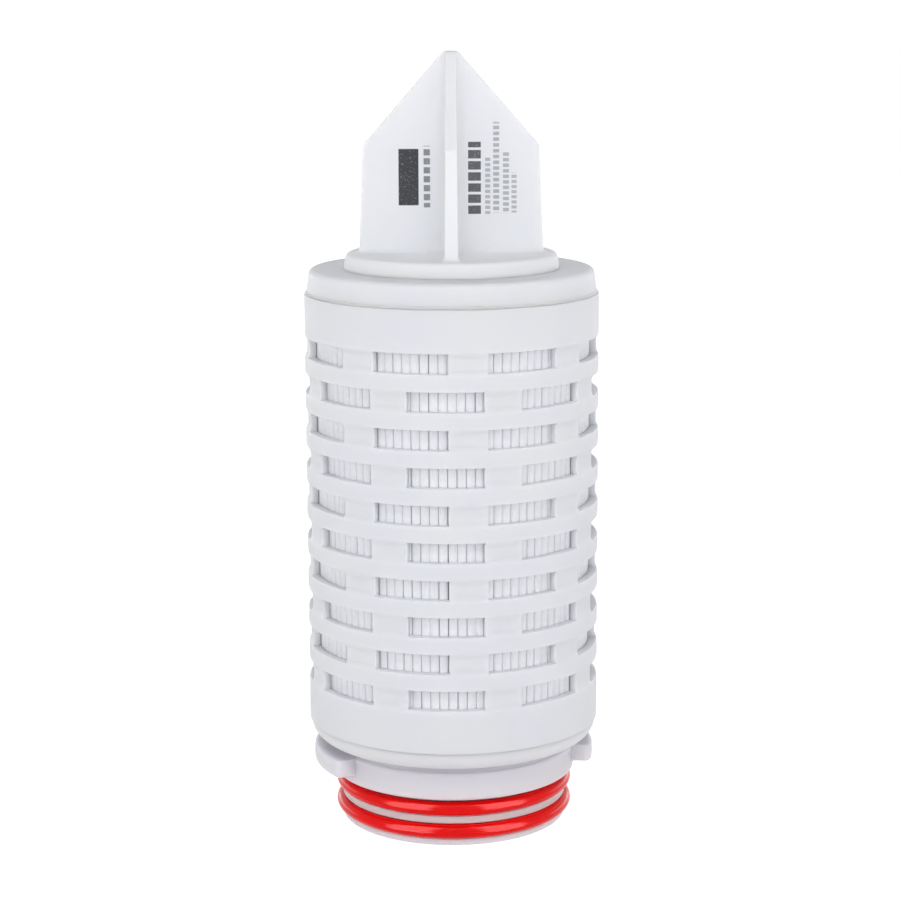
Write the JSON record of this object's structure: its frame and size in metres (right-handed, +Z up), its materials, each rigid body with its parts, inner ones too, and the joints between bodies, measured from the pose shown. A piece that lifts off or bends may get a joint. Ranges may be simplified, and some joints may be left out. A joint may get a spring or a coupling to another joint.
{
  "type": "pleated membrane filter cartridge",
  "caption": "Pleated membrane filter cartridge: windowed cage over a pleated pack, pointed cross fin above, and a bayonet spigot with red O-ring seals below.",
  "frame": {"origin": "middle of the spigot's lowest face, on the cartridge's long axis", "axes": "+Z runs up the long axis to the tip of the fin; the fin's blades lie along X and Y"},
  "size_m": [0.07, 0.07, 0.1851],
  "materials": {
    "cage_plastic": "moulded natural polypropylene, satin",
    "cap_plastic": "moulded natural polypropylene, semi-gloss",
    "fin_plastic": "moulded natural polypropylene, semi-gloss",
    "adapter_plastic": "moulded natural polypropylene, semi-gloss",
    "seal_silicone": "glossy red silicone",
    "sleeve_steel": "turned stainless steel",
    "core_plastic": "moulded natural polypropylene, satin",
    "support_fleece": "spunbonded polypropylene fleece",
    "membrane_film": "porous white membrane film"
  },
  "bodies": {
    "root": {"outer_cage": "cage_plastic", "top_end_cap": "cap_plastic", "fin_adapter": "fin_plastic", "bottom_end_cap": "cap_plastic", "oring_adapter": "adapter_plastic", "upper_oring": "seal_silicone", "lower_oring": "seal_silicone", "reinforcing_sleeve": "sleeve_steel", "inner_core": "core_plastic", "upstream_support": "support_fleece", "membrane": "membrane_film", "downstream_support": "support_fleece"}
  },
  "joints": []
}
